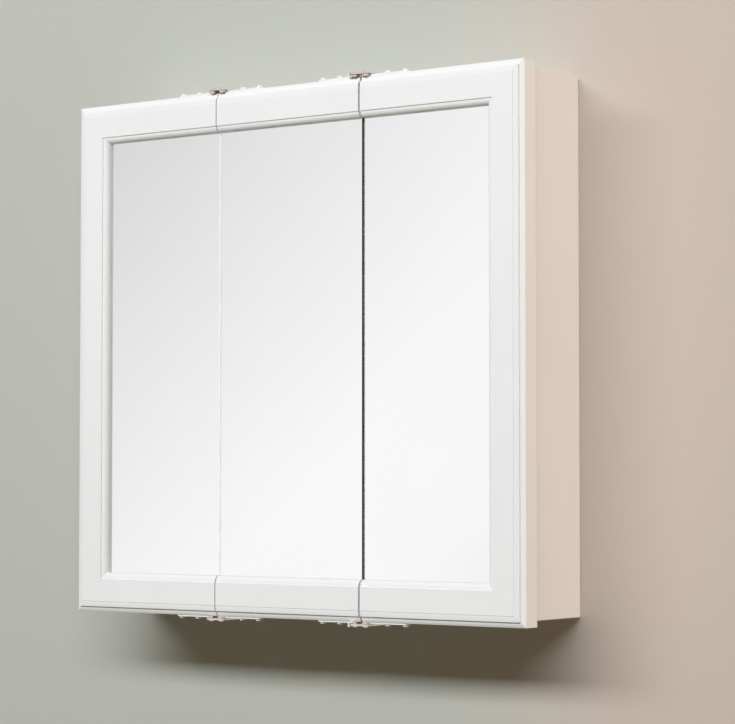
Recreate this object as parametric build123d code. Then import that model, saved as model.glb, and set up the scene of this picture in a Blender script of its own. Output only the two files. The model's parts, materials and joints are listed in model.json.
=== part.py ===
from build123d import *
from math import atan2, cos, degrees, pi
import os

# Wall-hung medicine cabinet with three mirrored doors in one moulded frame.
# Millimetres. X runs to the viewer's right, the doors face -Y and +Z is up.
# The origin is the centre of the back face, which lies against the wall.

# Small round pieces are drawn with few sides, so that the whole model stays light
rod_sides = 8  # screws, heads, dowels, shelf pins and the holes that they sit in
disc_sides = 12  # hinge pins, washers, pads and the eyes of the leaves

# Overall sizes
cabinet_width = 640.0  # over the door frames
cabinet_height = 610.0  # over the door frames
case_depth = 97.5  # from the wall to the front edges of the case
frame_overhang = 6.35  # how far the door frames stand past the case all round
door_clearance = 2.0  # from the case to the backs of the closed doors

# Case
panel_thickness = 12.0
panel_edge_round = 1.0
back_thickness = 3.2
back_rebate_width = 6.0
hanging_rail_height = 50.0
hanging_rail_thickness = 12.0
fixing_spacing = 406.4  # wall studs sixteen inches apart
fixing_hole_radius = 2.5

# Dowels between the case panels
dowel_radius = 4.0
dowel_length = 30.0
dowel_depth_in_side = 8.5
dowels_per_joint = 2
dowel_fit = 0.05  # radial clearance in the hole
dowel_end_space = 0.5

# Shelves and their pins
shelf_thickness = 9.5
shelf_front_setback = 6.0
shelf_back_space = 2.0
shelf_side_space = 2.0
shelf_count = 2
pin_radius = 2.5
pin_depth = 9.0
pin_reach = 8.0
pin_collar_radius = 3.6
pin_collar_thickness = 1.2
pin_fit = 0.1
pin_pitch = 32.0
pin_positions_each_shelf = 3
pin_inset = 16.0  # from the shelf's front and back edges

# Moulded door frame, seen in section
frame_width = 47.0  # outer edge to sight edge
edge_thickness = 21.5  # back of the door to the outer arris
bead_width = 6.0
bead_rise = 2.2
bead_bulge = 0.35
step_rise = 2.0
ogee_width = 6.4
ogee_rise = 0.7
quirk_rise = 0.3
inner_quirk_width = 0.6
inner_quirk_drop = 1.3
inner_face_round = 0.9
ovolo_radius = 6.8
rebate_from_back = 17.8
rebate_width = 9.0

# Doors
centre_door_pitch = 206.6  # between the middles of the two seams
hinge_seam_gap = 1.5
free_seam_gap = 2.5
mirror_thickness = 3.0
mirror_edge_chamfer = 0.6
mirror_setback = 0.3  # glass edge behind the end of the rails
glass_space = 0.5  # glass to the side of the rebate
backing_thickness = 3.2
seam_stile_width = 30.0

# Pivot hinges
hinge_pin_radius = 1.6
hinge_pin_fit = 0.05
hinge_pin_offset = 7.0  # from the middle of the seam
hinge_pin_forward = 2.4  # in front of the outer arris
hinge_pin_head_radius = 3.0
hinge_pin_head_height = 1.6
hinge_pin_tail = 0.7  # below the leaf
leaf_thickness = 1.8
leaf_width = 9.0
leaf_front_setback = 0.5  # behind the outer arris
leaf_reach = 63.0  # from the middle of the seam
leaf_eye_radius = 4.0
leaf_screw_offsets = (33.0, 57.0)  # from the middle of the seam
washer_thickness = 0.4
washer_radius = 3.4
washer_play = 0.05
bracket_thickness = 2.0
bracket_width = 25.0
bracket_base_length = 40.0
bracket_setback = 0.5  # behind the front edge of the case
bracket_bend_radius = 2.0  # outside of its bends
bracket_nose_round = 3.0
keeper_space = 0.6
keeper_pin_lift = 0.4  # end of the keeper pin above the door
catch_lug_thickness = 1.8
catch_lug_space = 0.8
catch_lug_width = 6.0
catch_lug_height = 6.0

# Screws
leaf_screw_radius = 1.7
leaf_screw_length = 16.0
leaf_screw_head_radius = 3.5
leaf_screw_head_height = 2.5
small_screw_radius = 1.5
small_screw_length = 10.0
small_screw_head_radius = 3.0
small_screw_head_height = 1.8
screw_fit = 0.1

# Magnetic catches, their strike plates and the door bumpers
catch_length = 46.0
catch_depth = 15.0
catch_body_length = 26.0
catch_body_height = 13.0
catch_flange_thickness = 2.5
catch_screw_spacing = 36.0
magnet_length = 20.0
magnet_height = 7.0
magnet_depth = 5.0
magnet_fit = 0.1
magnet_stand_out = 0.2
strike_length = 26.0
strike_width = 12.0
strike_thickness = 1.2
strike_gap = 0.3
strike_corner_cut = 2.0
strike_head_radius = 2.8
centre_catch_inset = 24.0  # from the free seam to the middle of the catch
bumper_radius = 4.0
bumper_gap = 0.2
bumper_edge_cut = 0.6
bumper_inset = 40.0  # from the corners of the case

# Places that follow from the sizes
case_width = cabinet_width - 2 * frame_overhang
case_height = cabinet_height - 2 * frame_overhang
inner_width = case_width - 2 * panel_thickness
inner_height = case_height - 2 * panel_thickness
case_top = case_height / 2
inner_top = inner_height / 2
inner_side = inner_width / 2
case_front_y = -case_depth
door_back_y = case_front_y - door_clearance
arris_y = door_back_y - edge_thickness
door_top = cabinet_height / 2
door_side = cabinet_width / 2
hinge_seam_x = -centre_door_pitch / 2
free_seam_x = centre_door_pitch / 2
pivot_y = arris_y - hinge_pin_forward
leaf_top = door_top + leaf_thickness
tongue_bottom = leaf_top + washer_thickness + 2 * washer_play
tongue_top = tongue_bottom + bracket_thickness
pin_hole_radius = (hinge_pin_radius + hinge_pin_fit) * 1.04  # corners of a hole with flat sides
glass_side = frame_width - rebate_width + glass_space
rebate_side = frame_width - rebate_width
rail_middle_z = inner_top - hanging_rail_height / 2


def block(x0, x1, y0, y1, z0, z1):
    """A box between two corners."""
    middle = Pos((x0 + x1) / 2, (y0 + y1) / 2, (z0 + z1) / 2)
    return middle * Box(abs(x1 - x0), abs(y1 - y0), abs(z1 - z0))


def turned(stations, sides):
    """A turned piece on the Z axis, drawn with few sides from heights and radii."""
    lengths = []
    for (low, start), (high, end) in zip(stations, stations[1:]):
        slope = degrees(atan2(abs(start - end) * cos(pi / sides), high - low))
        face = Pos(0, 0, low) * RegularPolygon(start, sides)
        if end > start:  # grown from its wide end, so that its corners stay sharp
            face = Pos(0, 0, high) * Rot(180, 0, 0) * RegularPolygon(end, sides)
        lengths.append(extrude(face, high - low, taper=slope))
    return lengths[0].fuse(*lengths[1:]) if len(lengths) > 1 else lengths[0]


def rod(radius, x, y, z0, z1, sides=rod_sides):
    """A vertical rod with few sides."""
    return Pos(x, y, 0) * turned([(z0, radius), (z1, radius)], sides)


def rod_along_x(radius, x0, x1, y, z):
    """A rod with few sides that lies along X."""
    return Pos(0, y, z) * Rot(0, 90, 0) * rod(radius, 0, 0, x0, x1)


def along_y(radius, y0, y1, x, z):
    """A cylinder that lies along Y."""
    return Pos(x, (y0 + y1) / 2, z) * Rot(90, 0, 0) * Cylinder(radius, abs(y1 - y0))


def upside_down(piece):
    """The same piece at the bottom of the cabinet."""
    return mirror(piece, about=Plane.XY)


def other_side(piece, x=0.0):
    """The same piece on the other side of the upright plane at x."""
    return mirror(piece, about=Plane.YZ.offset(x))


def pan_head(radius, height):
    """A low rounded head that sits on z = 0."""
    return turned([(0, radius), (height * 0.35, radius), (height, radius * 0.55)], rod_sides)


def pan_screw(radius, length, head_radius, head_height):
    """A screw whose head sits on z = 0 and whose shank points down."""
    return rod(radius, 0, 0, -length, 0) + pan_head(head_radius, head_height)


def group(pieces):
    """Separate solids that share a node."""
    return Compound(children=[solid for piece in pieces for solid in piece.solids()])


# Case
def dowel_places():
    """Depths of the dowels along a joint between two case panels."""
    step = case_depth / (dowels_per_joint + 1)
    return [-step * (n + 1) for n in range(dowels_per_joint)]


def shelf_middle(number):
    """Height of the middle of a shelf, counted from the bottom."""
    bay = (inner_height - shelf_count * shelf_thickness) / (shelf_count + 1)
    return -inner_top + (number + 1) * bay + (number + 0.5) * shelf_thickness


def pin_height(number):
    """Height of the axis of the pins under a shelf."""
    return shelf_middle(number) - shelf_thickness / 2 - pin_radius


shelf_front_y = case_front_y + shelf_front_setback
shelf_back_y = -back_thickness - shelf_back_space
pin_rows = (shelf_front_y + pin_inset, shelf_back_y - pin_inset)


def side_panel():
    """The right side panel, with its rebate, dowel holes and shelf pin holes."""
    outer = case_width / 2
    body = block(inner_side, outer, case_front_y, 0, -case_top, case_top)
    body = fillet(body.edges().filter_by_position(Axis.X, outer, outer), panel_edge_round)
    body -= block(
        inner_side,
        inner_side + back_rebate_width,
        -back_thickness,
        0,
        back_rebate_width - case_top,
        case_top - back_rebate_width,
    )
    hole_end = inner_side + dowel_depth_in_side + dowel_end_space
    for y in dowel_places():
        for z in (panel_thickness / 2 - case_top, case_top - panel_thickness / 2):
            body -= rod_along_x(dowel_radius + dowel_fit, inner_side, hole_end, y, z)
    for number in range(shelf_count):
        for place in range(pin_positions_each_shelf):
            shift = place - (pin_positions_each_shelf - 1) / 2
            z = pin_height(number) + shift * pin_pitch
            for y in pin_rows:
                end = inner_side + pin_depth + pin_fit
                body -= rod_along_x(pin_radius + pin_fit, inner_side, end, y, z)
    return body


def top_panel():
    """The top panel, between the side panels."""
    body = block(-inner_side, inner_side, case_front_y, 0, inner_top, case_top)
    body -= block(
        -inner_side,
        inner_side,
        -back_thickness,
        0,
        inner_top,
        inner_top + back_rebate_width,
    )
    hole_end = inner_side - (dowel_length - dowel_depth_in_side) - dowel_end_space
    for y in dowel_places():
        for end in (-1, 1):
            z = case_top - panel_thickness / 2
            hole = rod_along_x(dowel_radius + dowel_fit, hole_end, inner_side, y, z)
            body -= hole if end > 0 else other_side(hole)
    for x, y in bracket_screw_places():
        low = case_top - small_screw_length - screw_fit
        body -= rod(small_screw_radius + screw_fit, x, y, low, case_top)
    return body


def fixing_holes():
    """The four holes through which the cabinet is screwed to the wall."""
    depth = back_thickness + hanging_rail_thickness
    return [
        along_y(fixing_hole_radius, -depth, 0, x, z)
        for x in (-fixing_spacing / 2, fixing_spacing / 2)
        for z in (-rail_middle_z, rail_middle_z)
    ]


def back_panel():
    """The thin back, let into rebates and flush with the back of the case."""
    half_width = inner_side + back_rebate_width
    half_height = inner_top + back_rebate_width
    body = block(-half_width, half_width, -back_thickness, 0, -half_height, half_height)
    for hole in fixing_holes():
        body -= hole
    return body


def upper_hanging_rail():
    """The rail under the top panel that takes the upper wall screws."""
    back = -back_thickness
    front = back - hanging_rail_thickness
    low = inner_top - hanging_rail_height
    body = block(-inner_side, inner_side, front, back, low, inner_top)
    for hole in fixing_holes():
        body -= hole
    return body


def case_dowels():
    """The dowels that join the top and bottom panels to the sides."""
    outer_end = inner_side + dowel_depth_in_side
    inner_end = outer_end - dowel_length
    right = [
        rod_along_x(dowel_radius, inner_end, outer_end, y, z)
        for z in (panel_thickness / 2 - case_top, case_top - panel_thickness / 2)
        for y in dowel_places()
    ]
    return right + [other_side(dowel) for dowel in right]


def shelf(number):
    """One shelf, resting on its four pins."""
    half = inner_side - shelf_side_space
    middle = shelf_middle(number)
    low = middle - shelf_thickness / 2
    high = middle + shelf_thickness / 2
    body = block(-half, half, shelf_front_y, shelf_back_y, low, high)
    front_edges = body.edges().filter_by_position(Axis.Y, shelf_front_y, shelf_front_y)
    return fillet(front_edges.filter_by(Axis.X), panel_edge_round)


def shelf_pins():
    """Four collared pins for each shelf."""
    pins = []
    for number in range(shelf_count):
        z = pin_height(number)
        for y in pin_rows:
            shank = rod_along_x(
                pin_radius, inner_side - pin_reach, inner_side + pin_depth, y, z
            )
            collar = rod_along_x(
                pin_collar_radius, inner_side - pin_collar_thickness, inner_side, y, z
            )
            pins.append(shank + collar)
            pins.append(other_side(shank + collar))
    return pins


# Door frames
def frame_section():
    """Points and curves of the moulding: u in from the outer edge, t out from the back."""
    bead_top = edge_thickness + bead_rise
    step_top = bead_top + step_rise
    ogee_top = step_top + ogee_rise
    face = ogee_top + quirk_rise
    ogee_end = bead_width + ogee_width
    ovolo_start = frame_width - ovolo_radius
    face_end = ovolo_start - inner_quirk_width
    quirk_bottom = face - inner_quirk_drop
    ovolo_end = quirk_bottom - ovolo_radius
    bead_middle = (bead_width / 2 - bead_bulge, edge_thickness + bead_rise / 2 + bead_bulge)
    ogee_middle = (bead_width + ogee_width / 2, step_top + ogee_rise * 0.75)
    slant = ovolo_radius * 0.70711
    ovolo_middle = (ovolo_start + slant, quirk_bottom - ovolo_radius + slant)
    round_start = face_end - inner_face_round
    slant = inner_face_round * 0.70711
    round_middle = (round_start + slant, face - inner_face_round + slant)
    return [
        Line((0, 0), (0, edge_thickness)),
        ThreePointArc((0, edge_thickness), bead_middle, (bead_width, bead_top)),
        Line((bead_width, bead_top), (bead_width, step_top)),
        ThreePointArc((bead_width, step_top), ogee_middle, (ogee_end, ogee_top)),
        Line((ogee_end, ogee_top), (ogee_end, face)),
        Line((ogee_end, face), (round_start, face)),
        ThreePointArc((round_start, face), round_middle, (face_end, face - inner_face_round)),
        Line((face_end, face - inner_face_round), (face_end, quirk_bottom)),
        Line((face_end, quirk_bottom), (ovolo_start, quirk_bottom)),
        ThreePointArc((ovolo_start, quirk_bottom), ovolo_middle, (frame_width, ovolo_end)),
        Line((frame_width, ovolo_end), (frame_width, rebate_from_back)),
        Line((frame_width, rebate_from_back), (rebate_side, rebate_from_back)),
        Line((rebate_side, rebate_from_back), (rebate_side, 0)),
        Line((rebate_side, 0), (0, 0)),
    ]


def frame_bar(plane, length):
    """A straight length of the moulding, grown from a plane across its start."""
    return extrude(plane * make_face(Curve() + frame_section()), length)


def corner_wedge(side, inner):
    """What a mitre takes off at the top corner of the side frame, from rail or stile."""
    reach = frame_width * 1.5
    corner = (side * door_side, door_top)
    deep = (side * (door_side - reach), door_top - reach)
    third = (side * door_side, door_top - reach)
    if inner:
        third = (side * (door_side - reach), door_top)
    face = make_face(Polyline(corner, deep, third, corner))
    wedge = extrude(Plane.XZ * face, 4 * edge_thickness)
    return Pos(0, door_back_y + edge_thickness, 0) * wedge


def top_rail(x0, x1, mitre=0):
    """A top rail between two ends, mitred on the left (-1), right (1) or not at all."""
    start = Plane(origin=(x1, door_back_y, door_top), x_dir=(0, 0, -1), z_dir=(-1, 0, 0))
    rail = frame_bar(start, x1 - x0)
    if mitre:
        rail -= corner_wedge(mitre, inner=False)
    return rail


def outer_stile(side):
    """The upright of a side door's frame, mitred at both ends."""
    start = Plane(
        origin=(door_side, door_back_y, -door_top), x_dir=(-1, 0, 0), z_dir=(0, 0, 1)
    )
    if side < 0:
        return other_side(outer_stile(1))
    wedge = corner_wedge(1, inner=True)
    return frame_bar(start, cabinet_height) - wedge - upside_down(wedge)


def seam_stile(x0, x1):
    """The plain upright behind the glass at a seam, between the two rails."""
    front = door_back_y - rebate_from_back + mirror_thickness + backing_thickness
    half = door_top - rebate_side
    return block(x0, x1, front, door_back_y, -half, half)


def glass_sheet(x0, x1):
    """The mirror of one door, its edges ground to a small chamfer."""
    front = door_back_y - rebate_from_back
    half = door_top - glass_side
    sheet = block(x0, x1, front, front + mirror_thickness, -half, half)
    front_edges = sheet.edges().filter_by_position(Axis.Y, front, front)
    return chamfer(front_edges, mirror_edge_chamfer)


def backing_board(x0, x1):
    """The thin board that holds the glass against the lip of the frame."""
    front = door_back_y - rebate_from_back + mirror_thickness
    half = door_top - glass_side
    return block(x0, x1, front, front + backing_thickness, -half, half)


def leaf_screw_y():
    """Depth of the leaf screws, along the middle of the leaf."""
    return arris_y + leaf_front_setback + leaf_width / 2


def leaf_screw_holes(seam_x, direction):
    """Pilot holes in a rail for the screws of the leaf at one end."""
    return [
        rod(
            leaf_screw_radius + screw_fit,
            seam_x + direction * offset,
            leaf_screw_y(),
            leaf_top - leaf_screw_length - leaf_thickness,
            door_top,
        )
        for offset in leaf_screw_offsets
    ]


# Pivot hinges
def leaf_screws(seam_x, direction):
    """The two screws of one leaf on top of a door."""
    screw = pan_screw(
        leaf_screw_radius, leaf_screw_length, leaf_screw_head_radius, leaf_screw_head_height
    )
    return [
        Pos(seam_x + direction * offset, leaf_screw_y(), leaf_top) * screw
        for offset in leaf_screw_offsets
    ]


def leaf_blank(seam_x, inner_end):
    """Strip of a leaf to the right of a seam, with its screw holes and its arm."""
    front = arris_y + leaf_front_setback
    strip = block(
        seam_x + inner_end, seam_x + leaf_reach, front, front + leaf_width, door_top, leaf_top
    )
    far_edges = strip.edges().filter_by(Axis.Z).sort_by(Axis.X)[-2:]
    strip = chamfer(far_edges, leaf_width / 3)
    for offset in leaf_screw_offsets:
        x = seam_x + offset
        strip -= rod(leaf_screw_radius + screw_fit, x, leaf_screw_y(), door_top, leaf_top)
    return strip


def hinge_leaf(seam_x):
    """A leaf on the door right of a seam: a strip whose arm reaches to the pin."""
    inner_end = hinge_pin_offset - leaf_eye_radius
    leaf = leaf_blank(seam_x, inner_end)
    pin_x = seam_x + hinge_pin_offset
    back = arris_y + leaf_front_setback + leaf_width
    leaf += block(
        seam_x + inner_end, pin_x + leaf_eye_radius, pivot_y, back, door_top, leaf_top
    )
    leaf += rod(leaf_eye_radius, pin_x, pivot_y, door_top, leaf_top, disc_sides)
    leaf -= rod(pin_hole_radius, pin_x, pivot_y, door_top, leaf_top, disc_sides)
    return leaf


def keeper_leaf(seam_x):
    """The leaf at a free edge: an open hook that closes round the keeper pin."""
    pin_x = seam_x + hinge_pin_offset
    slot = hinge_pin_radius + keeper_space
    lug_x = seam_x + bracket_width / 2 + catch_lug_space
    arm_end = lug_x + catch_lug_thickness
    back = arris_y + leaf_front_setback + leaf_width
    front = pivot_y - leaf_eye_radius
    leaf = leaf_blank(seam_x, hinge_pin_offset + slot)
    leaf += block(pin_x, arm_end, front + 1, back, door_top, leaf_top)
    leaf += rod(leaf_eye_radius, pin_x, pivot_y, door_top, leaf_top, disc_sides)
    leaf -= rod(slot, pin_x, pivot_y, door_top, leaf_top, disc_sides)
    leaf -= block(pin_x - slot, pin_x + slot, pivot_y, back, door_top, leaf_top)
    leaf += block(
        lug_x,
        arm_end,
        front + 1,
        front + 1 + catch_lug_width,
        door_top,
        door_top + catch_lug_height,
    )
    return leaf


def hinge_bracket(seam_x):
    """The bracket screwed to the case top, cranked up and forward over the doors."""
    web_front = case_front_y + bracket_setback
    web_back = web_front + bracket_thickness
    base_back = web_back + bracket_base_length
    base_top = case_top + bracket_thickness
    nose = pivot_y - leaf_eye_radius
    outline = Polyline(
        (base_back, case_top),
        (web_front, case_top),
        (web_front, tongue_bottom),
        (nose, tongue_bottom),
        (nose, tongue_top),
        (web_back, tongue_top),
        (web_back, base_top),
        (base_back, base_top),
        (base_back, case_top),
    )
    section = make_face(outline)
    corners = section.vertices()
    outside = corners.filter_by(lambda v: abs(v.X - web_front) < 1e-6 and v.Y < case_top + 1e-6)
    outside += corners.filter_by(lambda v: abs(v.X - web_back) < 1e-6 and v.Y > tongue_top - 1e-6)
    section = fillet(outside, bracket_bend_radius)
    body = extrude(Plane.YZ * section, bracket_width)
    body = Pos(seam_x - bracket_width / 2, 0, 0) * body
    nose_edges = body.edges().filter_by(Axis.Z).group_by(Axis.Y)[0]
    body = fillet(nose_edges, bracket_nose_round)
    tail_edges = body.edges().filter_by(Axis.Z).group_by(Axis.Y)[-1]
    body = chamfer(tail_edges, bracket_nose_round)
    for side in (-1, 1):
        x = seam_x + side * hinge_pin_offset
        body -= rod(pin_hole_radius, x, pivot_y, tongue_bottom, tongue_top, disc_sides)
    for x, y in bracket_screw_places():
        if abs(x - seam_x) < bracket_width:
            body -= rod(small_screw_radius + screw_fit, x, y, case_top, base_top)
    return body


def bracket_screw_places():
    """Where the screws of the two brackets stand on the case top."""
    base_front = case_front_y + bracket_setback + bracket_thickness
    near = base_front + bracket_base_length * 0.35
    far = base_front + bracket_base_length * 0.8
    spread = bracket_width * 0.28
    return [
        (seam_x + dx, y)
        for seam_x in (hinge_seam_x, free_seam_x)
        for dx, y in ((-spread, near), (spread, near), (0, far))
    ]


def pivot_pin(x, end):
    """A domed pin riveted in a bracket's tongue, from its head down to a height."""
    shank = rod(hinge_pin_radius, x, pivot_y, end, tongue_top, disc_sides)
    head = pan_head(hinge_pin_head_radius, hinge_pin_head_height)
    return shank + Pos(x, pivot_y, tongue_top) * head


def pivot_washer(x):
    """A thin washer between a leaf and the bracket above it."""
    low = leaf_top + washer_play
    high = low + washer_thickness
    ring = rod(washer_radius, x, pivot_y, low, high, disc_sides)
    return ring - rod(pin_hole_radius, x, pivot_y, low, high, disc_sides)


# Magnetic catches, drawn under a panel at z = 0 with their front at y = 0
def catch_housing():
    """Flanged housing with a pocket for the magnet."""
    flange = block(
        -catch_length / 2, catch_length / 2, 0, catch_depth, -catch_flange_thickness, 0
    )
    flange = chamfer(flange.edges().filter_by(Axis.Z), strike_corner_cut)
    body = block(
        -catch_body_length / 2, catch_body_length / 2, 0, catch_depth, -catch_body_height, 0
    )
    body = chamfer(body.edges().filter_by(Axis.Y).group_by(Axis.Z)[0], strike_corner_cut)
    housing = flange + body
    half_length = magnet_length / 2 + magnet_fit
    middle = -catch_body_height / 2
    half_height = magnet_height / 2 + magnet_fit
    housing -= block(
        -half_length,
        half_length,
        0,
        magnet_depth + magnet_fit,
        middle - half_height,
        middle + half_height,
    )
    for side in (-1, 1):
        x = side * catch_screw_spacing / 2
        low = -catch_flange_thickness
        housing -= rod(small_screw_radius + screw_fit, x, catch_depth / 2, low, 0)
    return housing


def catch_magnet():
    """The magnet block in the pocket, standing slightly proud."""
    middle = -catch_body_height / 2
    return block(
        -magnet_length / 2,
        magnet_length / 2,
        -magnet_stand_out,
        magnet_depth,
        middle - magnet_height / 2,
        middle + magnet_height / 2,
    )


def catch_screws():
    """The two screws that hold a catch, pointing up into the panel."""
    screw = pan_screw(
        small_screw_radius,
        small_screw_length,
        small_screw_head_radius,
        small_screw_head_height,
    )
    turned = Rot(180, 0, 0) * screw
    return [
        Pos(side * catch_screw_spacing / 2, catch_depth / 2, -catch_flange_thickness) * turned
        for side in (-1, 1)
    ]


catch_front_y = door_back_y + strike_thickness + strike_gap + magnet_stand_out
centre_catch_x = free_seam_x - centre_catch_inset
catch_places = {
    "left": Location((-inner_side, catch_front_y, 0), (0, -90, 0)),
    "centre": Location((centre_catch_x, catch_front_y, inner_top), (0, 0, 0)),
    "right": Location((inner_side, catch_front_y, 0), (0, 90, 0)),
}


def catch_screw_pilots(side):
    """Holes in a panel for the screws of its catch."""
    depth = small_screw_length - catch_flange_thickness + screw_fit
    radius = small_screw_radius + screw_fit
    return [
        catch_places[side] * rod(radius, end * catch_screw_spacing / 2, catch_depth / 2, 0, depth)
        for end in (-1, 1)
    ]


def strike_plate(side):
    """The steel plate on a door's back that meets its magnet, at the catch's place."""
    back = strike_gap + magnet_stand_out
    middle = -catch_body_height / 2
    plate = block(
        -strike_length / 2,
        strike_length / 2,
        -back - strike_thickness,
        -back,
        middle - strike_width / 2,
        middle + strike_width / 2,
    )
    plate = chamfer(plate.edges().filter_by(Axis.Y), strike_corner_cut)
    stations = [
        (-strike_thickness, small_screw_radius + screw_fit),
        (0, strike_head_radius + screw_fit),
    ]
    plate -= Pos(0, -back, middle) * Rot(-90, 0, 0) * turned(stations, rod_sides)
    return catch_places[side] * plate


def strike_screw(side):
    """The countersunk screw in the middle of a strike plate."""
    back = strike_gap + magnet_stand_out
    middle = -catch_body_height / 2
    stations = [
        (-small_screw_length, small_screw_radius),
        (-strike_thickness, small_screw_radius),
        (0, strike_head_radius),
    ]
    screw = turned(stations, rod_sides)
    return catch_places[side] * Pos(0, -back, middle) * Rot(-90, 0, 0) * screw


def strike_pilot(side):
    """The hole in a door for its strike plate's screw."""
    back = strike_gap + magnet_stand_out
    low = -small_screw_length - screw_fit
    hole = rod(small_screw_radius + screw_fit, 0, 0, low, -strike_thickness)
    turn = Pos(0, -back, -catch_body_height / 2) * Rot(-90, 0, 0)
    return catch_places[side] * turn * hole


def bumper(x, z):
    """A soft round pad on the front edge of the case."""
    height = door_clearance - bumper_gap
    shoulder = height - bumper_edge_cut
    top = bumper_radius - bumper_edge_cut
    pad = turned([(0, bumper_radius), (shoulder, bumper_radius), (height, top)], disc_sides)
    return Pos(x, case_front_y, z) * Rot(90, 0, 0) * pad


def bumpers():
    """Two pads for each door, on the side away from its hinge."""
    edge_x = inner_side + panel_thickness / 2
    edge_z = inner_top + panel_thickness / 2
    high = case_top - bumper_inset
    centre_x = free_seam_x - bumper_inset * 1.5
    places = [(side * edge_x, end * high) for side in (-1, 1) for end in (-1, 1)]
    places += [(centre_x, end * edge_z) for end in (-1, 1)]
    return [bumper(x, z) for x, z in places]


# Assembly
parts = {}

right_side = side_panel()
left_side = other_side(right_side)
case_top_panel = top_panel()
for pilot in catch_screw_pilots("right"):
    right_side -= pilot
for pilot in catch_screw_pilots("left"):
    left_side -= pilot
parts["right_side_panel"] = right_side
parts["left_side_panel"] = left_side
parts["bottom_panel"] = upside_down(case_top_panel)
for pilot in catch_screw_pilots("centre"):
    case_top_panel -= pilot
parts["top_panel"] = case_top_panel
parts["back_panel"] = back_panel()
parts["upper_hanging_rail"] = upper_hanging_rail()
parts["lower_hanging_rail"] = upside_down(parts["upper_hanging_rail"])
parts["case_dowels"] = group(case_dowels())
parts["lower_shelf"] = shelf(0)
parts["upper_shelf"] = shelf(1)
parts["shelf_pins"] = group(shelf_pins())
parts["door_bumpers"] = group(bumpers())
parts["catch_housings"] = group([place * catch_housing() for place in catch_places.values()])
parts["catch_magnets"] = group([place * catch_magnet() for place in catch_places.values()])
parts["catch_screws"] = group(
    [place * screw for place in catch_places.values() for screw in catch_screws()]
)

# Hinges, drawn at the top and turned over for the bottom
pin_places = [
    seam_x + side * hinge_pin_offset
    for seam_x in (hinge_seam_x, free_seam_x)
    for side in (-1, 1)
]
keeper_x = free_seam_x - hinge_pin_offset
pins = [pivot_pin(x, door_top - hinge_pin_tail) for x in pin_places if x != keeper_x]
keeper_pin = pivot_pin(keeper_x, door_top + keeper_pin_lift)
washers = [pivot_washer(x) for x in pin_places if x != keeper_x]
bracket_screw = pan_screw(
    small_screw_radius, small_screw_length, small_screw_head_radius, small_screw_head_height
)
bracket_screws = [
    Pos(x, y, case_top + bracket_thickness) * bracket_screw
    for x, y in bracket_screw_places()
]
parts["upper_left_hinge_bracket"] = hinge_bracket(hinge_seam_x)
parts["upper_right_hinge_bracket"] = hinge_bracket(free_seam_x)
parts["lower_left_hinge_bracket"] = upside_down(parts["upper_left_hinge_bracket"])
parts["lower_right_hinge_bracket"] = upside_down(parts["upper_right_hinge_bracket"])
parts["hinge_pins"] = group(pins + [upside_down(pin) for pin in pins])
parts["keeper_pins"] = group([keeper_pin, upside_down(keeper_pin)])
parts["pivot_washers"] = group(washers + [upside_down(washer) for washer in washers])
parts["hinge_bracket_screws"] = group(
    bracket_screws + [upside_down(screw) for screw in bracket_screws]
)

# Doors, by where they start and end
door_spans = {
    "left": (-door_side, hinge_seam_x - hinge_seam_gap / 2),
    "centre": (hinge_seam_x + hinge_seam_gap / 2, free_seam_x - free_seam_gap / 2),
    "right": (free_seam_x + free_seam_gap / 2, door_side),
}
leaf_ends = {
    "left": [(hinge_seam_x, -1)],
    "centre": [(hinge_seam_x, 1), (free_seam_x, -1)],
    "right": [(free_seam_x, 1)],
}
outer_sides = {"left": -1, "centre": 0, "right": 1}

for name, (start, end) in door_spans.items():
    outer = outer_sides[name]
    rail = top_rail(start, end, outer)
    for seam_x, direction in leaf_ends[name]:
        for hole in leaf_screw_holes(seam_x, direction):
            rail -= hole
    parts[f"{name}_door_bottom_rail"] = upside_down(rail)
    if name == "centre":
        rail -= strike_pilot(name)
    parts[f"{name}_door_top_rail"] = rail
    glass_start = start + (glass_side if outer < 0 else mirror_setback)
    glass_end = end - (glass_side if outer > 0 else mirror_setback)
    parts[f"{name}_door_mirror"] = glass_sheet(glass_start, glass_end)
    parts[f"{name}_door_backing"] = backing_board(glass_start, glass_end)
    if outer:
        parts[f"{name}_door_outer_stile"] = outer_stile(outer) - strike_pilot(name)
    if outer >= 0:
        side_name = "seam_stile" if outer else "left_stile"
        parts[f"{name}_door_{side_name}"] = seam_stile(start, start + seam_stile_width)
    if outer <= 0:
        side_name = "seam_stile" if outer else "right_stile"
        parts[f"{name}_door_{side_name}"] = seam_stile(end - seam_stile_width, end)
    screws = [
        screw
        for seam_x, direction in leaf_ends[name]
        for screw in leaf_screws(seam_x, direction)
    ]
    parts[f"{name}_door_leaf_screws"] = group(
        screws + [upside_down(screw) for screw in screws]
    )
    parts[f"{name}_door_strike_plate"] = strike_plate(name)
    parts[f"{name}_door_strike_screw"] = strike_screw(name)

right_of_hinge_seam = hinge_leaf(hinge_seam_x)
upper_leaves = {
    "left_door_{}_leaf": other_side(right_of_hinge_seam, hinge_seam_x),
    "centre_door_{}_hinge_leaf": right_of_hinge_seam,
    "centre_door_{}_keeper_leaf": other_side(keeper_leaf(free_seam_x), free_seam_x),
    "right_door_{}_leaf": hinge_leaf(free_seam_x),
}
for name, leaf in upper_leaves.items():
    parts[name.format("upper")] = leaf
    parts[name.format("lower")] = upside_down(leaf)

os.makedirs("parts", exist_ok=True)
for name, shape in parts.items():
    export_step(shape, f"parts/{name}.step")
print(len(parts), "nodes")
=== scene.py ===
import json
import math

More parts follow.
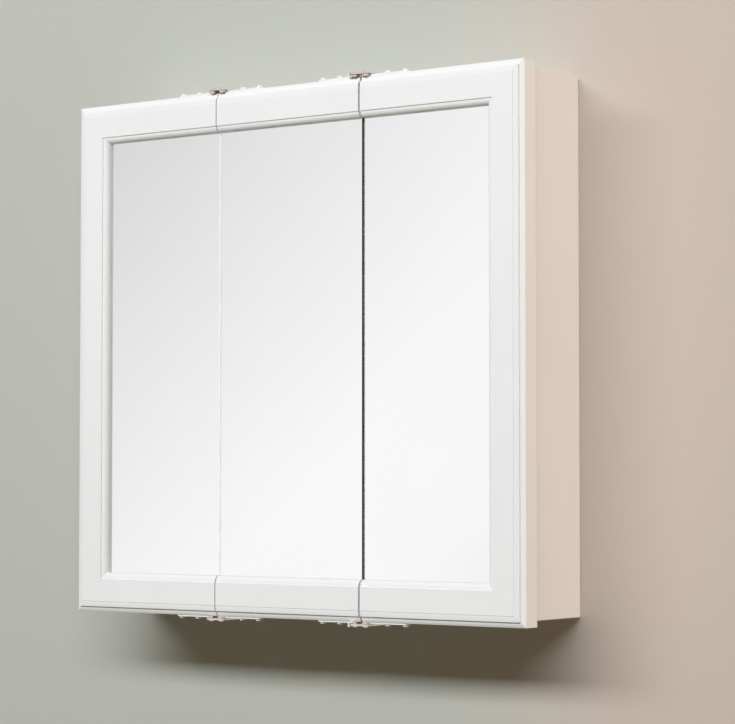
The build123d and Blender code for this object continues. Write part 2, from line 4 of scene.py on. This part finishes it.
import bmesh
import bpy
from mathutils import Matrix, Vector


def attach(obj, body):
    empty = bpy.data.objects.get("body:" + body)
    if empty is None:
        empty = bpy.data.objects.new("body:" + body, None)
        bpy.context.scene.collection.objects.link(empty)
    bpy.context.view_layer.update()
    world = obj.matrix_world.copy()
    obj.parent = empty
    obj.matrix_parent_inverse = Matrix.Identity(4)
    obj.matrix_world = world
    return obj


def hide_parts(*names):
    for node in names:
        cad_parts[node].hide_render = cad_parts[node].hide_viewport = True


# A wall-hung medicine cabinet with three mirrored doors. Metres, in the part's frame.
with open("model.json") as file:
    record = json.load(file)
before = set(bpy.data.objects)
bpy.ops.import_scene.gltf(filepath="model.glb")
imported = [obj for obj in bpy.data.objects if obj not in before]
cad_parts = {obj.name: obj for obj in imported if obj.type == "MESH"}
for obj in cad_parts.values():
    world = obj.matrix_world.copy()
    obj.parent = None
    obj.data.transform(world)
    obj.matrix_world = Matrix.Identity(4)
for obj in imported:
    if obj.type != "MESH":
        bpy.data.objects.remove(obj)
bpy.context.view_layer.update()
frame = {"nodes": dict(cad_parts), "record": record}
nodes = frame["nodes"]
slots = {part["node"]: part["material_slot"] for part in frame["record"]["subparts"]}
bodies_of = {
    node: body for body, held in frame["record"]["behaviour"]["bodies"].items() for node in held
}

# Camera, matched to the photograph
CAMERA_PLACE = (1.77856, -2.41633, -0.14845)
CAMERA_AZIMUTH = 35.99
CAMERA_PITCH = 2.673
CAMERA_LENS = 124.74
SENSOR_WIDTH = 36

# Places and directions that the finishes need
SEAM_X = 0.1033
BARE_REACH = 0.0125  # to each side of a seam, where the leaves are bare
STRAIGHT = 0.99  # cosine above which a face looks straight along an axis
SIDEWAYS = 0.5  # cosine above which a face looks mostly to the right

# Small turned pieces, drawn round in place of the few-sided solids
TURNED_NODES = ("hinge_pins", "keeper_pins", "shelf_pins", "door_bumpers", "case_dowels")
TURNED_SIDES = 32
DOME_STEPS = 5
SHARP_ANGLE = math.radians(38)
CLOSE = 2e-5  # places nearer than this are one place
MERGE_REACH = 1e-6
PLACE_DIGITS = 6
LENGTH_DIGITS = 5

# Cross recesses of the screws
RECESS_RINGS = 7
RECESS_HALF_WIDTH = 0.13  # shares of the head's radius
RECESS_REACH = 0.52
RECESS_FLOOR = 0.3  # how far below the top a ring can still be sunk
RECESS_DEPTH = 0.0009  # metres, at the middle
RECESS_RISE = 0.5  # share of the depth that is lost at the ends
RECESS_TURN = 0.9  # radians for each point before it, so that screws differ

# The room around the cabinet
FLOOR_Z = -1.25
WALL_Y = 0.0015
WALL_TOP = 3
WALL_REACH = 6
# The wall's warm colour towards the right is painted warm light from the right
WALL_TURN = (0.08, 0.42)  # where the wall goes from cool to warm along X
SCREEN_Y = -3.2
SCREEN_REACH = 9
SCREEN_HALF_HEIGHT = 5
SCREEN_SLANT = -1.15  # weight of the height against X in the screen's gradient
SCREEN_BAND = (-5.0, 0.0)  # where the gradient starts and ends
# Shares of the way along the gradient, and the glow's level there
SCREEN_STOPS = ((0, 0.6), (0.226, 0.7), (0.576, 1.06), (0.63, 1.08), (0.726, 0.96), (1, 0.87))
WORLD_STRENGTH = 0.16

# Finishes, as linear colours
FRAME_WHITE = (0.855, 0.855, 0.850)
FRAME_SHADE = (0.835, 0.835, 0.830)
CASE_WHITE = (0.835, 0.825, 0.810)
CASE_SHADE = (0.810, 0.800, 0.780)
BOARD_WHITE = (0.74, 0.73, 0.70)
BOARD_SPECK = (0.62, 0.60, 0.56)
SILVER = (0.94, 0.94, 0.94)
MIRROR_BACK = (0.23, 0.24, 0.25)
MIRROR_BACK_SHADE = (0.18, 0.19, 0.20)
GROUND_EDGE = (0.72, 0.74, 0.73)
GROUND_EDGE_SHADE = (0.60, 0.63, 0.62)
DARK_EDGE = (0.030, 0.038, 0.036)
DARK_EDGE_SHADE = (0.018, 0.024, 0.022)
ZINC_LIGHT = (0.88, 0.78, 0.72)
ZINC_DARK = (0.74, 0.64, 0.58)
ENAMEL = (0.85, 0.85, 0.84)
ENAMEL_SHADE = (0.80, 0.80, 0.79)
SCREW_WHITE = (0.87, 0.87, 0.86)
NYLON = (0.74, 0.73, 0.69)
NYLON_SHADE = (0.62, 0.60, 0.55)
RUBBER = (0.60, 0.60, 0.58)
RUBBER_SHADE = (0.48, 0.48, 0.46)
CATCH_WHITE = (0.74, 0.73, 0.70)
CATCH_SHADE = (0.64, 0.62, 0.58)
MAGNET = (0.030, 0.029, 0.029)
MAGNET_DUST = (0.075, 0.072, 0.070)
BEECH = (0.52, 0.35, 0.20)
BEECH_DARK = (0.40, 0.25, 0.13)
FLOOR_COLOUR = (0.62, 0.61, 0.58)
# Wall colours: the warm one on the right is painted warm light from the right
WALL_LEFT = (0.51, 0.52, 0.475)
WALL_RIGHT_WARM_LIT = (0.60, 0.505, 0.43)
WORLD_LIGHT = (1.0, 0.82, 0.55)
WORLD_SEEN = (0.78, 0.78, 0.76)


def times(colour, share):
    return tuple(channel * share for channel in colour)


def set_inputs(node, **values):
    """Sets a node's sockets, with underscores for the spaces in their names."""
    for name, value in values.items():
        node.inputs[name.replace("_", " ")].default_value = value


class Tree:
    """Short calls for one material's nodes."""

    def __init__(self, name):
        self.material = bpy.data.materials.new(name)
        self.material.use_nodes = True
        self.tree = self.material.node_tree
        self.shader = self.tree.nodes["Principled BSDF"]
        self.surface = self.tree.nodes["Material Output"].inputs["Surface"]
        self.place = self.node("ShaderNodeTexCoord").outputs["Object"]

    def node(self, kind, **settings):
        made = self.tree.nodes.new(kind)
        for name, value in settings.items():
            setattr(made, name, value)
        return made

    def link(self, start, end):
        self.tree.links.new(start, end)

    def split(self):
        """The place's X, Y and Z outputs."""
        made = self.node("ShaderNodeSeparateXYZ")
        self.link(self.place, made.inputs["Vector"])
        return made.outputs

    def noise(self, scale, detail=4.0, rough=0.55, stretch=(1, 1, 1)):
        """A noise pattern in object metres."""
        place = self.place
        if stretch != (1, 1, 1):
            mapping = self.node("ShaderNodeMapping")
            mapping.inputs["Scale"].default_value = stretch
            self.link(place, mapping.inputs["Vector"])
            place = mapping.outputs["Vector"]
        made = self.node("ShaderNodeTexNoise")
        set_inputs(made, Scale=scale, Detail=detail, Roughness=rough)
        self.link(place, made.inputs["Vector"])
        return made.outputs["Fac"]

    def spread(self, source, low, high, start=0.3, end=0.7):
        """Maps a pattern's values onto a range."""
        made = self.node("ShaderNodeMapRange")
        self.link(source, made.inputs["Value"])
        set_inputs(made, From_Min=start, From_Max=end, To_Min=low, To_Max=high)
        return made.outputs["Result"]

    def mix(self, share, first, second):
        """Mixes two colours or colour outputs by a share."""
        made = self.node("ShaderNodeMix", data_type="RGBA")
        self.link(share, made.inputs["Factor"])
        for socket, colour in ((made.inputs["A"], first), (made.inputs["B"], second)):
            if isinstance(colour, tuple):
                socket.default_value = (*colour, 1)
            else:
                self.link(colour, socket)
        return made.outputs["Result"]

    def softened(self, radius):
        """The normal, as if the corners had a small radius."""
        bevel = self.node("ShaderNodeBevel", samples=6)
        bevel.inputs["Radius"].default_value = radius
        return bevel.outputs["Normal"]

    def edges(self, radius):
        """1 at edges and corners and 0 on flats, from a softened normal."""
        normal = self.softened(radius)
        geometry = self.node("ShaderNodeNewGeometry")
        dot = self.node("ShaderNodeVectorMath", operation="DOT_PRODUCT")
        self.link(normal, dot.inputs[0])
        self.link(geometry.outputs["Normal"], dot.inputs[1])
        return self.spread(dot.outputs["Value"], 1.0, 0.0, start=0.70, end=0.95)

    def bump(self, height, strength, distance, soften=0.0):
        """Relief from a pattern, over corners that can be softened by a small radius."""
        made = self.node("ShaderNodeBump")
        if soften:
            self.link(self.softened(soften), made.inputs["Normal"])
        set_inputs(made, Strength=strength, Distance=distance)
        self.link(height, made.inputs["Height"])
        self.link(made.outputs["Normal"], self.shader.inputs["Normal"])

    def colour(self, source):
        self.link(source, self.shader.inputs["Base Color"])

    def rough(self, source):
        self.link(source, self.shader.inputs["Roughness"])


def painted(name, light, shade, wear=0.0, rough=(0.29, 0.33), coat=0.0):
    """Sprayed paint: soft mottling, faint orange peel, a little wear at the edges."""
    t = Tree(name)
    cloud = t.spread(t.noise(9, detail=3), 0.0, 1.0)
    colour = t.mix(cloud, light, shade)
    if wear:
        worn = t.node("ShaderNodeMath", operation="MULTIPLY")
        t.link(t.edges(0.0007), worn.inputs[0])
        patches = t.spread(t.noise(140), 0.0, wear, start=0.45, end=0.75)
        t.link(patches, worn.inputs[1])
        colour = t.mix(worn.outputs["Value"], colour, times(shade, 0.72))
    t.colour(colour)
    t.rough(t.spread(t.noise(25, detail=2), *rough, start=0.2, end=0.8))
    peel = t.noise(900, detail=2, rough=0.4)
    t.bump(peel, strength=0.25, distance=0.00006, soften=0.0005)
    set_inputs(t.shader, Specular_IOR_Level=0.45, Coat_Weight=coat, Coat_Roughness=0.15)
    return t.material


def silvered_glass(name):
    """A mirror: silver under glass, with the faintest unevenness in its polish."""
    t = Tree(name)
    cloud = t.spread(t.noise(5, detail=2), 0.0, 1.0)
    t.colour(t.mix(cloud, SILVER, times(SILVER, 0.985)))
    t.rough(t.spread(t.noise(30, detail=3), 0.008, 0.02))
    set_inputs(t.shader, Metallic=1.0)
    return t.material


def plated(name, light, dark, stretch):
    """Zinc plate with passivation clouds and fine scratches along one way."""
    t = Tree(name)
    cloud = t.spread(t.noise(160, detail=5, rough=0.65), 0.0, 1.0)
    lines = t.spread(t.noise(900, detail=3, rough=0.6, stretch=stretch), 0.0, 0.2)
    colour = t.mix(cloud, light, dark)
    t.colour(t.mix(lines, colour, times(dark, 0.7)))
    t.rough(t.spread(t.noise(350), 0.24, 0.42))
    t.bump(t.noise(1500, detail=2), strength=0.12, distance=0.00003, soften=0.0002)
    set_inputs(t.shader, Metallic=1.0)
    return t.material


def fibreboard(name, face, speck):
    """White-faced hardboard: pale, with a fine fibrous speckle."""
    t = Tree(name)
    specks = t.spread(t.noise(700, detail=6, rough=0.7), 0.0, 0.8, start=0.52, end=0.72)
    t.colour(t.mix(specks, face, speck))
    t.rough(t.spread(t.noise(120), 0.5, 0.68))
    t.bump(t.noise(1100, rough=0.65), strength=0.4, distance=0.0001)
    return t.material


def beech(name):
    """Bare beech, its grain running along X."""
    t = Tree(name)
    grain = t.spread(t.noise(260, detail=6, rough=0.6, stretch=(0.08, 1, 1)), 0.0, 1.0)
    t.colour(t.mix(grain, BEECH, BEECH_DARK))
    t.rough(t.spread(t.noise(200), 0.5, 0.7))
    t.bump(grain, strength=0.4, distance=0.0001)
    return t.material


def moulded(name, light, shade, rough=(0.38, 0.5), bump=0.3, glow=0.0):
    """A moulded plastic or rubber with a faint texture, or an edge with a painted glow that
    stands in for light through its glass.
    """
    t = Tree(name)
    t.colour(t.mix(t.spread(t.noise(90, detail=3), 0.0, 1.0), light, shade))
    t.rough(t.spread(t.noise(220, detail=3), *rough))
    t.bump(t.noise(1400, detail=3), strength=bump, distance=0.00005)
    set_inputs(t.shader, Emission_Color=(*light, 1), Emission_Strength=glow)
    return t.material


finishes = {
    "frame_paint": painted("frame_paint", FRAME_WHITE, FRAME_SHADE, coat=0.2),
    "case_paint": painted("case_paint", CASE_WHITE, CASE_SHADE, rough=(0.38, 0.43)),
    "hardboard": fibreboard("hardboard", BOARD_WHITE, BOARD_SPECK),
    "bare_wood": beech("bare_wood"),
    "mirror": silvered_glass("mirror"),
    "white_steel": painted("white_steel", ENAMEL, ENAMEL_SHADE, wear=0.4, rough=(0.22, 0.34)),
    "white_screws": painted("white_screws", SCREW_WHITE, ENAMEL, wear=0.3, rough=(0.2, 0.32)),
    "zinc_steel": plated("zinc_steel", ZINC_LIGHT, ZINC_DARK, stretch=(1, 0.06, 1)),
    "nylon": moulded("nylon", NYLON, NYLON_SHADE),
    "bumper_rubber": moulded("bumper_rubber", RUBBER, RUBBER_SHADE, rough=(0.55, 0.7)),
    "catch_plastic": moulded("catch_plastic", CATCH_WHITE, CATCH_SHADE),
    "magnet": moulded("magnet", MAGNET, MAGNET_DUST, rough=(0.5, 0.75), bump=0.6),
}

# The ground edges glow faintly: a painted glow for the light that comes through the glass
ground_edge_painted_glow = moulded("ground_edge_painted_glow", GROUND_EDGE, GROUND_EDGE_SHADE, rough=(0.35, 0.5), glow=0.45)
dark_edge = moulded("dark_edge", DARK_EDGE, DARK_EDGE_SHADE, rough=(0.12, 0.2), bump=0.05)
mirror_back = moulded("mirror_back", MIRROR_BACK, MIRROR_BACK_SHADE, rough=(0.5, 0.65))

for name, obj in nodes.items():
    obj.data.materials.clear()
    obj.data.materials.append(finishes[slots[name]])
    for polygon in obj.data.polygons:
        polygon.use_smooth = True


def paint_faces(obj, material, chosen):
    """Gives the faces that chosen() picks by normal and centre another finish."""
    obj.data.materials.append(material)
    number = len(obj.data.materials) - 1
    for polygon in obj.data.polygons:
        if chosen(polygon.normal, polygon.center):
            polygon.material_index = number


# Mirrors are silver in front, painted behind, and ground along their edges, where a faint painted
# glow stands in for light through the glass
for door in ("left", "centre", "right"):
    glass = nodes[f"{door}_door_mirror"]
    paint_faces(glass, ground_edge_painted_glow, lambda normal, centre: abs(normal.y) < STRAIGHT)
    paint_faces(glass, mirror_back, lambda normal, centre: normal.y > STRAIGHT)

# The centre mirror's edge at the second seam is coloured near black, so that seam looks dark
glass = nodes["centre_door_mirror"]
paint_faces(glass, dark_edge, lambda normal, centre: normal.x > SIDEWAYS)

# Leaves are enamelled, but their arms and eyes under the bracket are bare zinc
for name, obj in nodes.items():
    if name.endswith("_leaf"):
        seam = SEAM_X if name.startswith("right") or "keeper" in name else -SEAM_X
        paint_faces(
            obj,
            finishes["zinc_steel"],
            lambda normal, centre: abs(centre.x - seam) < BARE_REACH,
        )


def add_object(name, data):
    """Puts new data into the scene as an object."""
    obj = bpy.data.objects.new(name, data)
    bpy.context.scene.collection.objects.link(obj)
    return obj


def separate_solids(mesh):
    """The polygons of a mesh, sorted into its solids, as lists of corner places."""
    home = {}

    def root(key):
        while home[key] != key:
            key = home[key]
        return key

    faces = []
    for polygon in mesh.polygons:
        corners = [mesh.vertices[index].co.copy() for index in polygon.vertices]
        keys = [tuple(round(value, PLACE_DIGITS) for value in corner) for corner in corners]
        for key in keys:
            home.setdefault(key, key)
        for key in keys[1:]:
            home[root(key)] = root(keys[0])
        faces.append((keys[0], corners))
    solids = {}
    for key, corners in faces:
        solids.setdefault(root(key), []).append(corners)
    return list(solids.values())


def thick_end_is_low(stations, length):
    """Whether the widest place lies in the lower half of a solid."""
    widest = max(radius for height, radius in stations)
    places = [height for height, radius in stations if radius > widest - CLOSE]
    return sum(places) / len(places) < length / 2


def turned_shape(faces):
    """Foot, axis and lengths of a turned solid, read from its faces, thick end last."""
    points = [corner for corners in faces for corner in corners]
    low = Vector(min(point[i] for point in points) for i in range(3))
    high = Vector(max(point[i] for point in points) for i in range(3))
    size = high - low
    pairs = {0: abs(size.y - size.z), 1: abs(size.x - size.z), 2: abs(size.x - size.y)}
    along = min(pairs, key=pairs.get)
    axis = Vector(1.0 if i == along else 0.0 for i in range(3))
    foot = (low + high) / 2
    foot[along] = low[along]

    def station(point):
        height = (point - foot).dot(axis)
        return height, ((point - foot) - axis * height).length

    if thick_end_is_low([station(point) for point in points], size[along]):
        foot = foot + axis * size[along]
        axis = -axis
    lengths = set()
    for corners in faces:
        stations = [station(corner) for corner in corners]
        start = min(stations)[0]
        end = max(stations)[0]
        if end - start > CLOSE:
            first = max(radius for height, radius in stations if abs(height - start) < CLOSE)
            last = max(radius for height, radius in stations if abs(height - end) < CLOSE)
            lengths.add(tuple(round(value, LENGTH_DIGITS) for value in (start, end, first, last)))

    # Readings of one length can differ a little from face to face, and the first is kept
    chain = []
    for length in sorted(lengths):
        if not chain or length[0] > chain[-1][1] - CLOSE:
            chain.append(length)
    return foot, axis, chain


def rounded_profile(lengths):
    """Heights and radii along a turned piece, each narrowing length drawn as a dome."""
    profile = []
    for start, end, first, last in lengths:
        profile.append((start, first))
        if last < first - CLOSE:
            for step in range(1, DOME_STEPS):
                turn = math.pi / 2 * step / DOME_STEPS
                height = start + (end - start) * math.sin(turn)
                profile.append((height, last + (first - last) * math.cos(turn)))
        profile.append((end, last))
    return profile


def recess_depth(x, y, widest):
    """How deep a cross recess is at one place of a screw's head."""
    near, far = sorted((abs(x), abs(y)))
    reach = RECESS_REACH * widest
    if near < RECESS_HALF_WIDTH * widest and far < reach:
        return RECESS_DEPTH * (1 - RECESS_RISE * far / reach)
    return 0.0


def add_turned(points, faces, foot, axis, profile, recess):
    """Adds one turned piece to a mesh under way, with or without a cross recess."""
    side = axis.orthogonal().normalized()
    other = axis.cross(side)
    turn = RECESS_TURN * len(points)
    top, head = profile[-1]
    widest = max(radius for height, radius in profile)
    count = RECESS_RINGS if recess else 2
    rings = [(profile[0][0], 0.0), *profile]
    rings += [(top, head * (1 - step / count)) for step in range(1, count + 1)]
    start = len(points)
    for height, radius in rings:
        on_top = height > top - widest * RECESS_FLOOR
        for number in range(TURNED_SIDES):
            angle = 2 * math.pi * number / TURNED_SIDES
            x = radius * math.cos(angle)
            y = radius * math.sin(angle)
            sunk = recess_depth(x, y, widest) if recess and on_top else 0.0
            place = foot + axis * (height - sunk)
            across = x * math.cos(turn) - y * math.sin(turn)
            up = x * math.sin(turn) + y * math.cos(turn)
            points.append(place + side * across + other * up)
    for ring in range(len(rings) - 1):
        first = start + ring * TURNED_SIDES
        second = first + TURNED_SIDES
        for number in range(TURNED_SIDES):
            after = (number + 1) % TURNED_SIDES
            faces.append((first + number, first + after, second + after, second + number))


def new_piece(name, points, faces, node):
    """A mesh piece that stands for a CAD node, on its body and in its finish."""
    mesh = bpy.data.meshes.new(name)
    mesh.from_pydata(points, [], faces)
    work = bmesh.new()
    work.from_mesh(mesh)
    bmesh.ops.remove_doubles(work, verts=work.verts, dist=MERGE_REACH)
    bmesh.ops.recalc_face_normals(work, faces=work.faces)
    work.to_mesh(mesh)
    work.free()
    mesh.polygons.foreach_set("use_smooth", [True] * len(mesh.polygons))
    mesh.set_sharp_from_angle(angle=SHARP_ANGLE)
    mesh.materials.append(finishes[slots[node]])
    obj = add_object(name, mesh)
    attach(obj, bodies_of[node])
    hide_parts(node)


def turn_node(node, recess=False):
    """Draws all solids of a CAD node round, as one piece."""
    points = []
    faces = []
    for solid in separate_solids(nodes[node].data):
        foot, axis, lengths = turned_shape(solid)
        add_turned(points, faces, foot, axis, rounded_profile(lengths), recess)
    new_piece(f"{node}_round", points, faces, node)


for name in sorted(nodes):
    if name.endswith(("_screws", "_screw")):
        turn_node(name, recess=True)
    elif name in TURNED_NODES:
        turn_node(name)


# Floor, wall and background
def stage_plane(name, corners, material, hidden_from):
    """A plane of the room, which the named kinds of ray don't see."""
    mesh = bpy.data.meshes.new(name)
    mesh.from_pydata(corners, [], [(0, 1, 2, 3)])
    mesh.materials.append(material)
    obj = add_object(name, mesh)
    for ray in hidden_from:
        setattr(obj, f"visible_{ray}", False)


def upright(y, reach, low, high):
    """Corners of a plane that stands across the view."""
    return [(-reach, y, low), (reach, y, low), (reach, y, high), (-reach, y, high)]


def level(z, reach):
    """Corners of a plane that lies flat."""
    return [(-reach, -reach, z), (reach, -reach, z), (reach, reach, z), (-reach, reach, z)]


def stage_look(name):
    t = Tree(name)
    set_inputs(t.shader, Roughness=0.85, Specular_IOR_Level=0.2)
    return t


def floor_material():
    """A plain matt floor with faint clouds."""
    t = stage_look("floor")
    cloud = t.spread(t.noise(1.5, detail=3), 0.0, 1.0)
    t.colour(t.mix(cloud, FLOOR_COLOUR, times(FLOOR_COLOUR, 0.96)))
    return t.material


def wall_material():
    """Wall colour that goes from cool to warm, the warm side being painted warm light from the
    right, clear when seen from behind.
    """
    t = stage_look("wall")
    across = t.split()["X"]
    painted_warm_light = t.node("ShaderNodeMapRange", interpolation_type="SMOOTHSTEP")
    t.link(across, painted_warm_light.inputs["Value"])
    set_inputs(painted_warm_light, From_Min=WALL_TURN[0], From_Max=WALL_TURN[1])
    # Towards the right the wall takes a painted warm light
    t.colour(t.mix(painted_warm_light.outputs["Result"], WALL_LEFT, WALL_RIGHT_WARM_LIT))
    t.bump(t.noise(220, detail=3, rough=0.5), strength=0.12, distance=0.0004)
    clear = t.node("ShaderNodeBsdfTransparent")
    facing = t.node("ShaderNodeNewGeometry")
    either = t.node("ShaderNodeMixShader")
    t.link(facing.outputs["Backfacing"], either.inputs["Fac"])
    t.link(t.shader.outputs["BSDF"], either.inputs[1])
    t.link(clear.outputs["BSDF"], either.inputs[2])
    t.link(either.outputs["Shader"], t.surface)
    return t.material


def screen_material():
    """A glow with one soft peak, whose level runs aslant over the screen."""
    t = Tree("screen")
    place = t.split()
    aslant = t.node("ShaderNodeMath", operation="MULTIPLY_ADD")
    t.link(place["Z"], aslant.inputs[0])
    aslant.inputs[1].default_value = SCREEN_SLANT
    t.link(place["X"], aslant.inputs[2])
    low, high = SCREEN_BAND
    band = t.spread(aslant.outputs["Value"], 0.0, 1.0, start=low, end=high)
    glow = t.node("ShaderNodeValToRGB")
    t.link(band, glow.inputs["Fac"])
    while len(glow.color_ramp.elements) < len(SCREEN_STOPS):
        glow.color_ramp.elements.new(0.5)
    for element, (share, grey) in zip(glow.color_ramp.elements, SCREEN_STOPS):
        element.position = share
        element.color = (grey, grey, grey, 1)
    glow.color_ramp.interpolation = "B_SPLINE"
    emission = t.node("ShaderNodeEmission")
    t.link(glow.outputs["Color"], emission.inputs["Color"])
    t.link(emission.outputs["Emission"], t.surface)
    return t.material


# The floor lies well below the cabinet, and the wall only shows from the front
stage_plane("floor", level(FLOOR_Z, WALL_REACH), floor_material(), ["diffuse"])
stage_plane(
    "wall",
    upright(WALL_Y, WALL_REACH, FLOOR_Z, WALL_TOP),
    wall_material(),
    ["diffuse", "glossy", "shadow"],
)

# What the mirrors see in front of them: a big pale screen that nothing else sees
stage_plane(
    "screen",
    upright(SCREEN_Y, SCREEN_REACH, -SCREEN_HALF_HEIGHT, SCREEN_HALF_HEIGHT),
    screen_material(),
    ["camera", "diffuse", "shadow", "transmission"],
)


# Lights
def area_light(name, place, aim, size, power, colour):
    """A rectangular lamp that reflections don't show."""
    lamp = bpy.data.lights.new(name, "AREA")
    lamp.shape = "RECTANGLE"
    lamp.size, lamp.size_y = size
    lamp.energy = power
    lamp.color = colour
    obj = add_object(name, lamp)
    obj.location = place
    obj.rotation_euler = (Vector(aim) - Vector(place)).to_track_quat("-Z", "Y").to_euler()
    obj.visible_glossy = False


area_light(
    "key",
    place=(0.08, -5.0, 2.85),
    aim=(0, -0.05, 0),
    size=(9.5, 1.0),
    power=448,
    colour=(0.916, 0.96, 1.0),
)
area_light(
    "side",
    place=(3.0, 0.75, 0.5),
    aim=(0.3, -0.05, 0),
    size=(1.2, 1.4),
    power=49,
    colour=(1.0, 0.80, 0.68),
)
area_light(
    "behind",
    place=(-1.3, 2.7, 1.3),
    aim=(0, 0, 0),
    size=(1.6, 1.6),
    power=62,
    colour=(1.0, 0.99, 0.97),
)

# The world: warm and dim as light, plain and pale where it is seen or reflected
world = bpy.data.worlds.new("world")
bpy.context.scene.world = world
world.use_nodes = True
room = world.node_tree
warm = room.nodes["Background"]
set_inputs(warm, Color=(*WORLD_LIGHT, 1), Strength=WORLD_STRENGTH)
rays = room.nodes.new("ShaderNodeLightPath")
seen = room.nodes.new("ShaderNodeMath")
seen.operation = "MAXIMUM"
pale = room.nodes.new("ShaderNodeBackground")
set_inputs(pale, Color=(*WORLD_SEEN, 1))
blend = room.nodes.new("ShaderNodeMixShader")
for start, end in (
    (rays.outputs["Is Camera Ray"], seen.inputs[0]),
    (rays.outputs["Is Glossy Ray"], seen.inputs[1]),
    (seen.outputs["Value"], blend.inputs["Fac"]),
    (warm.outputs["Background"], blend.inputs[1]),
    (pale.outputs["Background"], blend.inputs[2]),
    (blend.outputs["Shader"], room.nodes["World Output"].inputs["Surface"]),
):
    room.links.new(start, end)

# Camera
azimuth = math.radians(CAMERA_AZIMUTH)
pitch = math.radians(CAMERA_PITCH)
forward = Vector(
    (
        -math.sin(azimuth) * math.cos(pitch),
        math.cos(azimuth) * math.cos(pitch),
        math.sin(pitch),
    )
)
camera = bpy.data.cameras.new("camera")
camera.sensor_fit = "HORIZONTAL"
camera.sensor_width = SENSOR_WIDTH
camera.lens = CAMERA_LENS
camera_object = add_object("camera", camera)
camera_object.location = CAMERA_PLACE
camera_object.rotation_euler = forward.to_track_quat("-Z", "Y").to_euler()
bpy.context.scene.camera = camera_object
bpy.context.scene.view_settings.view_transform = "Standard"
